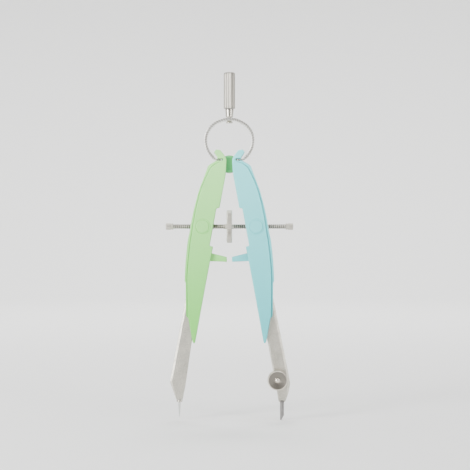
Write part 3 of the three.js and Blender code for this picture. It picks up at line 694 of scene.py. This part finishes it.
def fluted_grip(sizes):
    """The grip: radius R less a flute depth times a raised cosine of N turns, inside a chamfered envelope."""
    low, high = box_mm("grip_sleeve")
    foot, top = low[2], high[2]
    radius, depth, flutes = SLEEVE_RADIUS, sizes.flute_depth / MM, sizes.grip_flutes
    profile = [[1.9, foot + 0.15], [2.35, foot], [radius - 0.12, foot + 0.1], [radius, foot + 0.35],
               [radius, top - 0.75], [radius - 0.16, top - 0.4], [radius - 0.6, top],
               [1.2, top], [0.5, top - 0.06]]

    def flute(angle, reach, height):
        inside = np.clip((reach - (radius - 0.4)) / 0.3, 0, 1)
        return depth * inside * (0.5 + 0.5 * np.cos(flutes * angle)) ** 1.5

    return turned("grip", profile, 0.15, flutes * 18, "Z", (0, 0, 0), 5, ripple=flute)


def shank():
    """The polished shank: a tapered neck above the ring, a thin stem through it and a flared foot below."""
    profile = [[0.4, 145.2], [1.55, 145.2], [1.7, 145.34], [1.66, 145.6], [1.25, 146.1], [1.2, 146.25],
               [1.0, 146.3], [1.0, 148.1], [1.6, 148.15], [1.75, 148.4], [2.1, 151.6], [2.1, 151.95],
               [1.9, 152.1], [0.4, 152.1]]
    return turned("shank", profile, 0.12, 64, "Z", (0, 0, 0))


def mirrored(half):
    """A profile from the lower half of it."""
    return half + [[r, -h] for r, h in half[::-1]]


def roller():
    """The hinge roller, on an axis through the thickness, with a rim round each recessed face."""
    half = [[0.4, -1.9], [2.9, -1.9], [3.2, -2.3], [3.6, -2.4], [4.05, -2.4], [4.3, -2.1], [4.3, -1.2],
            [4.12, -1.0]]
    return turned("roller", mirrored(half), 0.14, 72, "Y", (0, 0, HINGE_Z))


def threaded_rod(sizes):
    """The spindle: radius R less the thread's depth times a triangle wave of x / pitch - a / one turn.

    The wave runs the other way on the left half, so the two threads are of opposite hand, and it fades out next to
    the wheel.
    """
    pitch, depth = sizes.thread_pitch / MM, sizes.thread_depth / MM
    low, high = box_mm("spindle_rod")
    x = np.linspace(low[0], high[0], int((high[0] - low[0]) * 10 / pitch) + 1)

    def thread(angle, reach, height):
        turn = np.abs(height) / pitch - np.sign(height) * angle / (2 * np.pi)
        saw = np.abs((turn % 1.0) * 2 - 1)
        shape = np.clip(saw * 1.35 - 0.17, 0, 1)
        out = np.abs(height)
        fade = np.clip((out - 2.0) / 0.6, 0, 1) * np.clip((THREAD_END - out) / 0.3, 0, 1)
        return depth * shape * fade

    profile = np.stack([np.where(np.abs(x) < THREAD_END, ROD_RADIUS, JOURNAL_RADIUS), x], 1)
    return mesh_object("threaded_rod", revolve(profile, 24, "X", (0, 0, SPINDLE_Z), thread))


def thumb_wheel(sizes):
    """The wheel: a bored disc with recessed faces, its rim cut by a raised cosine of as many turns as teeth."""
    teeth, cut = sizes.wheel_teeth, sizes.knurl_depth / MM
    half = [[1.32, -1.0], [1.6, -1.325], [2.5, -1.325], [2.9, -1.05], [6.5, -1.05], [6.9, -1.325], [7.6, -1.325],
            [7.9, -1.1], [8.0, -0.95]]

    def knurl(angle, reach, height):
        return cut * np.clip((reach - 7.6) / 0.3, 0, 1) * (0.5 + 0.5 * np.cos(teeth * angle))

    centre = (0, 0, SPINDLE_Z)
    return turned("thumb_wheel_disc", mirrored(half), 0.1, teeth * 6, "X", centre, 3, ripple=knurl, bored=True)


def end_cap(name, side):
    """A cap on the spindle's end, with a collar on its inner side and chamfers."""
    profile = [[0.3, 29.9], [1.15, 29.9], [1.15, 27.5], [1.35, 27.5], [1.6, 27.7], [1.6, 28.2], [1.35, 28.35],
               [1.35, 28.55], [1.65, 28.75], [1.65, 30.9], [1.35, 31.2], [0.3, 31.2]]
    return turned(name, np.array(profile) * [1, side], 0.1, 56, "X", (0, 0, SPINDLE_Z))


def cover_screw(name, u, z, side):
    """A countersunk screw with a slot across its head."""
    profile = [[0.3, -2.9], [0.6, -2.9], [0.8, -2.6], [0.8, 2.75], [1.3, 2.85], [1.6, 3.2], [1.6, 3.5], [1.4, 3.68],
               [0.3, 3.7]]
    x = side * u
    piece = turned(name, profile, 0.1, 40, "Y", (x, 0, z))
    carve(piece, [block((x - 2.0, 3.2, z - 0.22), (x + 2.0, 4.2, z + 0.22))])
    return piece


def needle_piece():
    """The needle: a round wire that narrows in two tapers to a fine point."""
    low, high = box_mm("needle")
    foot, top = low[2], high[2]
    x = (low[0] + high[0]) / 2
    profile = [[0.02, foot], [0.13, foot + 0.7], [0.24, foot + 1.6], [0.48, foot + 4.6],
               [0.6, foot + 6.6], [0.6, top - 0.2], [0.45, top]]
    return turned("needle_point", profile, 0.5, 32, "Z", (x, 0, 0))


def collet():
    """The collet that grips the needle under the leg's nose, with a groove between its two collars."""
    low, high = box_mm("needle_collet")
    foot, top = low[2], high[2]
    x = (low[0] + high[0]) / 2
    profile = [[0.66, top], [0.66, foot + 0.1], [0.8, foot], [1.2, foot], [1.45, foot + 0.2],
               [1.45, foot + 0.42], [1.3, foot + 0.5], [1.3, foot + 0.6], [1.65, foot + 0.72],
               [1.65, top - 0.08], [1.55, top]]
    return turned("collet", profile, 0.07, 48, "Z", (x, 0, 0), bored=True)


def lead_piece():
    """A round lead with a chisel cut across its outer side, from the tip up."""
    low, high = box_mm("lead")
    foot, top = low[2], high[2]
    x, y = LEAD
    profile = [[0.3, foot], [1.0, foot], [1.0, top - 0.15], [0.8, top]]
    piece = turned("lead_stick_2mm", profile, 0.05, 48, "Z", (x, y, 0))
    wedge = np.array([[x - 0.4, -0.05], [x + 2.0, -0.05], [x + 2.0, 4.15]])
    carve(piece, [prism(wedge, -THROUGH, THROUGH, 1.0)])
    return piece


def clamp_knob(teeth=60, depth=0.14):
    """The clamp screw: a knob with a knurled side, a dished front with a small dome at its middle, and its shank."""
    low, high = box_mm("clamp_screw")
    x, z = (low[0] + high[0]) / 2, (low[2] + high[2]) / 2
    front, back, radius = low[1], -2.2, (high[0] - low[0]) / 2
    swell = np.linspace(0.08, 1.0, 8) * math.pi / 2
    dome = np.stack([1.05 * np.sin(swell), front + 0.62 - 0.52 * np.cos(swell)], 1).tolist()
    profile = dome + [[1.25, front + 0.7], [1.5, front + 0.4], [radius - 0.75, front + 0.02], [radius - 0.55, front],
                      [radius - 0.1, front + 0.5], [radius, front + 0.75], [radius, back - 0.6],
                      [radius - 0.5, back], [1.6, back], [1.0, back + 0.1], [1.0, high[1] - 0.2],
                      [0.8, high[1]], [0.3, high[1]]]

    def knurl(angle, reach, height):
        side = np.clip((reach - (radius - 0.3)) / 0.2, 0, 1) * (height < back - 0.3)
        return depth * side * (0.5 + 0.5 * np.cos(teeth * angle))

    return turned("clamp_knob", profile, 0.1, teeth * 6, "Y", (x, 0, z), ripple=knurl)


# ---------- settings ----------
def length_property(name, description, millimetres):
    """A length setting, with its default given in millimetres."""
    return bpy.props.FloatProperty(
        name=name, description=description, default=millimetres * MM, unit="LENGTH", precision=5)


def count_property(name, description, value, low, high):
    """A whole number setting with its default and limits."""
    return bpy.props.IntProperty(name=name, description=description, default=value, min=low, max=high)


def power_property(name, description, watts):
    """A light's power with its default."""
    return bpy.props.FloatProperty(
        name=name, description=description, default=watts, subtype="POWER", unit="POWER")


def colour_property(name, description, value):
    """A colour setting with its default."""
    return bpy.props.FloatVectorProperty(
        name=name, description=description, subtype="COLOR", size=3, min=0.0, max=1.0, default=value)


class CompassSizes(bpy.types.PropertyGroup):
    cover_edge: length_property("Cover edge", "Width of the round on the plain edges of the covers", PLAIN_EDGE)
    rim_drop: length_property("Rim drop", "How far the low rim lies below the face of a cover", 0.75)
    bar_drop: length_property("Bar bevel depth", "Depth of the bevel along the metal legs", 0.4)
    thread_pitch: length_property("Thread pitch", "Distance between two threads of the spindle", 1.0)
    thread_depth: length_property("Thread depth", "Depth of the spindle's thread", 0.38)
    grip_flutes: count_property("Grip flutes", "Number of flutes round the grip", 12, 6, 60)
    flute_depth: length_property("Flute depth", "Depth of the flutes in the grip", 0.26)
    wheel_teeth: count_property("Wheel teeth", "Number of knurls round the wheel", 60, 20, 160)
    knurl_depth: length_property("Knurl depth", "Depth of the knurls in the wheel's rim", 0.28)


class CompassColours(bpy.types.PropertyGroup):
    # Each plastic's top and bottom colours differ only by painted light and shade: lighter at the hinge, darker at
    # the lower end.
    mint_lit_top: colour_property("Mint, top", "Left leg's plastic at the hinge", (0.36, 0.80, 0.26))
    mint_shaded_bottom: colour_property("Mint, bottom", "Left leg's plastic at its lower end", (0.15, 0.57, 0.09))
    aqua_lit_top: colour_property("Aqua, top", "Right leg's plastic at the hinge", (0.20, 0.72, 0.75))
    aqua_shaded_bottom: colour_property("Aqua, bottom", "Right leg's plastic at its lower end", (0.08, 0.50, 0.53))
    green: colour_property("Roller", "Hinge roller's plastic", (0.07, 0.44, 0.12))
    nickel: colour_property("Nickel", "Grip, shank, ring and spindle", (0.62, 0.59, 0.52))
    spring: colour_property("Ring spring", "Polished spring strip of the ring", (0.95, 0.93, 0.87))
    satin: colour_property("Satin metal", "Metal legs", (0.70, 0.67, 0.585))
    steel: colour_property("Steel", "Needle, screws, pins and leaf springs", (0.66, 0.66, 0.64))
    turned: colour_property("Turned steel", "Clamp knob", (0.25, 0.23, 0.20))
    brass: colour_property("Brass", "Swivel nuts", (0.72, 0.52, 0.22))
    graphite: colour_property("Graphite", "Lead", (0.27, 0.26, 0.255))


class CompassStage(bpy.types.PropertyGroup):
    floor_colour: colour_property("Floor", "Colour of the floor and the wall round it", (0.80, 0.80, 0.79))
    key_power: power_property("Key light", "Power of the left light", 9.5)
    fill_power: power_property("Fill light", "Power of the right light", 2.6)
    front_power: power_property("Front light", "Power of the wide light above the front", 4.2)
    wall_power: power_property("Wall light", "Power of the light on the wall behind", 55.0)


# ---------- operators ----------
class COMPASS_OT_covers(bpy.types.Operator):
    """Build the four plastic covers of the legs"""

    bl_idname = "compass.covers"
    bl_label = "Covers"

    def execute(self, context):
        finishes(context.scene.compass_colours)
        for hand, side in SIDES:
            shade, slot = PLASTICS[hand]
            for place, face in (("front", -1.0), ("back", 1.0)):
                piece = cover(f"{hand}_{place}_shell", side, face, context.scene.compass_sizes)
                finish_piece(piece, shade, f"{hand}_leg", [f"{hand}_{place}_cover"])
        return {"FINISHED"}


class COMPASS_OT_screws(bpy.types.Operator):
    """Build the countersunk screws that hold the covers together"""

    bl_idname = "compass.screws"
    bl_label = "Cover screws"

    def execute(self, context):
        finishes(context.scene.compass_colours)
        for hand, side in SIDES:
            for place, u, z in SCREWS:
                piece = cover_screw(f"{hand}_{place}_countersunk", u, z, side)
                finish_piece(piece, "ground steel", f"{hand}_leg", [f"{hand}_{place}_screw"])
        return {"FINISHED"}


class COMPASS_OT_bars(bpy.types.Operator):
    """Build the metal legs and the jaw that clamps the lead"""

    bl_idname = "compass.bars"
    bl_label = "Metal legs"

    def execute(self, context):
        finishes(context.scene.compass_colours)
        self.drop = context.scene.compass_sizes.bar_drop / MM
        _, u, z = SCREWS[1]
        needle_bore = revolve([[0.7, 0.0], [0.7, 24.4]], 32, "Z", (-24.45, 0, 0))
        screw_hole = pin_cutter(u, z, SCREW_HOLE, -THROUGH, THROUGH, -1.0)
        self.leg("needle_leg", NEEDLE_BAR, -1.0, [needle_bore, screw_hole], "left_leg", "left_leg_bar")

        bore = revolve([[1.1, 0.0], [1.1, 34.4]], 40, "Z", (*LEAD, 0))
        mouth = revolve([[1.0, -THROUGH], [1.0, THROUGH]], 40, "Y", (LEAD[0], 0, 8.9))
        knob_hole = pin_cutter(*JAW_PLACE, 1.3, -THROUGH, THROUGH, 1.0)
        screw_hole = pin_cutter(u, z, SCREW_HOLE, -THROUGH, THROUGH, 1.0)
        behind = block((15.0, LEAD[1] - 0.1, 0.0), (40.0, THROUGH, JAW_TOP + 0.25))
        cuts = [behind, bore, knob_hole, mouth, screw_hole]
        self.leg("lead_leg", LEAD_BAR, 1.0, cuts, "right_leg", "right_leg_bar")

        before = block((10.0, -THROUGH, 0.0), (40.0, LEAD[1] + 0.1, 80.0))
        above = block((5.0, -THROUGH, JAW_TOP), (40.0, THROUGH, 80.0))
        self.leg("clamp_jaw", LEAD_BAR, 1.0, [before, above, bore, knob_hole, mouth], "right_leg", "lead_jaw")
        return {"FINISHED"}

    def leg(self, name, outline, side, cuts, body, node):
        """A bevelled metal piece with its holes."""
        piece = bevelled_plate(name, outline, -BAR_HALF, BAR_HALF, self.drop, side)
        carve(piece, cuts)
        finish_piece(piece, "satin leg", body, [node], crease=16)


class COMPASS_OT_levers(bpy.types.Operator):
    """Build the two quick-release levers and finish their pins and springs"""

    bl_idname = "compass.levers"
    bl_label = "Release levers"

    def execute(self, context):
        finishes(context.scene.compass_colours)
        for hand, side in SIDES:
            shade, slot = PLASTICS[hand]
            y_low, y_high = (-LEVER_FAR, -LEVER_NEAR) if side < 0 else (LEVER_NEAR, LEVER_FAR)
            piece = bevelled_plate(f"{hand}_tab_lever", LEVER, y_low, y_high, 0.3, side)
            finger = anticlockwise(FINGER)
            soft = [(0.15, -0.8), (0.0, -0.65), (0.0, 0.65), (0.15, 0.8)]
            hub = pin_cutter(*LEVER_PIN, 1.4, y_low + 0.02, y_high - 0.02, side)
            carve(piece, [hub, plate(finger, soft, side)], "UNION")
            carve(piece, [pin_cutter(*LEVER_PIN, 1.0, -THROUGH, THROUGH, side)])
            finish_piece(piece, shade, f"{hand}_lever", [f"{hand}_release_lever"], crease=25)
            paint_node(f"{hand}_lever_pin", "ground steel")
            paint_node(f"{hand}_lever_spring", "spring leaf")
        return {"FINISHED"}


class COMPASS_OT_handle(bpy.types.Operator):
    """Build the grip, the shank, the ring spring and the hinge roller"""

    bl_idname = "compass.handle"
    bl_label = "Handle and ring"

    def execute(self, context):
        finishes(context.scene.compass_colours)
        grip = fluted_grip(context.scene.compass_sizes)
        finish_piece(grip, "fluted grip", "head", ["grip_sleeve"])
        finish_piece(shank(), "bright shank", "head", ["handle_shank"])
        finish_piece(roller(), "green moulding", "head", ["hinge_roller"])
        for hand, side in SIDES:
            piece = half_ring(f"ring_{hand}_half", side)
            finish_piece(piece, "hatched spring", replaces=["ring_spring"])
            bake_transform(piece)
        return {"FINISHED"}


class COMPASS_OT_spindle(bpy.types.Operator):
    """Build the threaded rod, its wheel and end caps, and finish the swivel nuts"""

    bl_idname = "compass.spindle"
    bl_label = "Spindle"

    def execute(self, context):
        finishes(context.scene.compass_colours)
        sizes = context.scene.compass_sizes
        rod = threaded_rod(sizes)
        finish_piece(rod, "cut thread", "spindle", ["spindle_rod"], crease=60, weighted=False)
        finish_piece(thumb_wheel(sizes), "knurled wheel", "spindle", ["thumb_wheel"])
        for hand, side in SIDES:
            piece = end_cap(f"{hand}_cap", side)
            finish_piece(piece, "knurled wheel", "spindle_ends", [f"{hand}_end_cap"])
            paint_node(f"{hand}_swivel_nut", "machined brass")
        return {"FINISHED"}


class COMPASS_OT_points(bpy.types.Operator):
    """Build the needle with its collet, and the lead with its clamp knob"""

    bl_idname = "compass.points"
    bl_label = "Needle and lead"

    def execute(self, context):
        finishes(context.scene.compass_colours)
        finish_piece(needle_piece(), "ground steel", "left_leg", ["needle"])
        finish_piece(collet(), "bright rod", "left_leg", ["needle_collet"])
        finish_piece(lead_piece(), "drawn graphite", "lead_stick", ["lead"])
        finish_piece(clamp_knob(), "turned knob", "lead_clamp", ["clamp_screw"])
        return {"FINISHED"}


class COMPASS_OT_stage(bpy.types.Operator):
    """Lay the pale floor, hang the soft lights and place the camera"""

    bl_idname = "compass.stage"
    bl_label = "Stage"

    def execute(self, context):
        settings = context.scene.compass_stage
        self.lay_floor(settings)
        target = (0.0, 0.0, 0.085)
        self.hang_light("key light", (-0.54, -0.48, 0.30), target, (0.26, 0.58), settings.key_power)
        self.hang_light("fill light", (0.52, -0.48, 0.28), target, (0.10, 0.52), settings.fill_power)
        self.hang_light("front light", (0.0, -0.45, 0.90), target, (0.9, 0.36), settings.front_power)
        walls = {
            "rear": (0.0, 1.0, 1.0), "left": (-1.0, 0.0, 0.5), "right": (1.0, 0.0, 0.4), "front": (0.0, -1.0, 0.12)}
        for name, (x, y, share) in walls.items():
            place, aim = (0.7 * x, 0.7 * y, 1.3), (2.0 * x, 2.0 * y, 0.1)
            self.hang_light(f"{name} wall light", place, aim, (0.8, 0.8), share * settings.wall_power)
        world = bpy.data.worlds.new("soft room")
        world.use_nodes = True
        background = world.node_tree.nodes["Background"].inputs
        background["Color"].default_value = (0.86, 0.88, 0.90, 1.0)
        background["Strength"].default_value = 0.14
        context.scene.world = world
        self.place_camera(context)
        return {"FINISHED"}

    def lay_floor(self, settings):
        """A round floor, flat to 1.2 m, that rises all round: its height is 1.1 s^2, with s from 0 to 1 past it."""
        flat, edge, height = 1.2, 2.6, 1.1
        radius = np.concatenate([np.linspace(0.05, flat, 6), np.linspace(1.25, edge, 28)])
        rise = np.clip((radius - flat) / (edge - flat), 0, 1)
        profile = np.stack([radius, height * rise**2], 1) / MM
        sides = 96
        angle = np.linspace(0, 2 * np.pi, sides, endpoint=False)
        points = np.stack(np.broadcast_arrays(
            profile[:, :1] * np.cos(angle), profile[:, :1] * np.sin(angle), profile[:, 1:]), -1).reshape(-1, 3)
        faces = quads(len(profile), sides).tolist() + [list(range(sides))[::-1]]
        floor = mesh_object("floor", (points, faces))
        floor.data.shade_smooth()
        nodes, shader, place = surface("pale floor")
        shade, _ = use_group(nodes, "fine_grain", Vector=place, Scale=300.0)
        pale = tinted(settings.floor_colour, 1.0)
        nodes.feed(shader["Base Color"], nodes.mix(nodes.sum("MULTIPLY", shade, 0.25), pale, tinted(pale, 0.95)))
        shader["Roughness"].default_value = 0.75
        floor.data.materials.append(bpy.data.materials["pale floor"])

    def hang_light(self, name, place, target, size, power):
        """A soft panel light at a place, turned towards the target; its size is its width and height."""
        data = bpy.data.lights.new(name, "AREA")
        data.shape, data.energy = "RECTANGLE", power
        data.size, data.size_y = size
        light = bpy.data.objects.new(name, data)
        light.location = place
        aim = Vector([target[i] - place[i] for i in range(3)])
        light.rotation_euler = aim.to_track_quat("-Z", "Y").to_euler()
        light.visible_camera = False
        bpy.context.scene.collection.objects.link(light)

    def place_camera(self, context):
        """The camera looks straight at the front, level, from 0.64 m."""
        data = bpy.data.cameras.new("camera")
        data.lens, data.sensor_width = 100.0, 36.0
        camera = bpy.data.objects.new("camera", data)
        camera.location = (0.00274, -0.6397, 0.09055)
        camera.rotation_euler = (math.radians(90), 0.0, 0.0)
        context.scene.collection.objects.link(camera)
        context.scene.camera = camera


# ---------- panel ----------
class COMPASS_PT_panel(bpy.types.Panel):
    """Sizes, colours and pieces of the compass"""

    bl_idname = "COMPASS_PT_panel"
    bl_label = "Bow compass"
    bl_space_type = "VIEW_3D"
    bl_region_type = "UI"
    bl_category = "Compass"

    def draw(self, context):
        for group in (context.scene.compass_sizes, context.scene.compass_colours, context.scene.compass_stage):
            column = self.layout.column(align=True)
            for name in group.__annotations__:
                column.prop(group, name)
        column = self.layout.column(align=True)
        for operator in OPERATORS:
            column.operator(operator.bl_idname)


OPERATORS = (
    COMPASS_OT_handle,
    COMPASS_OT_covers,
    COMPASS_OT_screws,
    COMPASS_OT_bars,
    COMPASS_OT_levers,
    COMPASS_OT_spindle,
    COMPASS_OT_points,
    COMPASS_OT_stage,
)
GROUPS = {"compass_sizes": CompassSizes, "compass_colours": CompassColours, "compass_stage": CompassStage}
CLASSES = (*GROUPS.values(), *OPERATORS, COMPASS_PT_panel)


def register():
    for cls in CLASSES:
        bpy.utils.register_class(cls)
    for name, group in GROUPS.items():
        setattr(bpy.types.Scene, name, bpy.props.PointerProperty(type=group))


def unregister():
    for name in GROUPS:
        delattr(bpy.types.Scene, name)
    for cls in reversed(CLASSES):
        bpy.utils.unregister_class(cls)


def main():
    register()
    for operator in OPERATORS:
        family, name = operator.bl_idname.split(".")
        getattr(getattr(bpy.ops, family), name)()


if __name__ == "__main__":
    main()
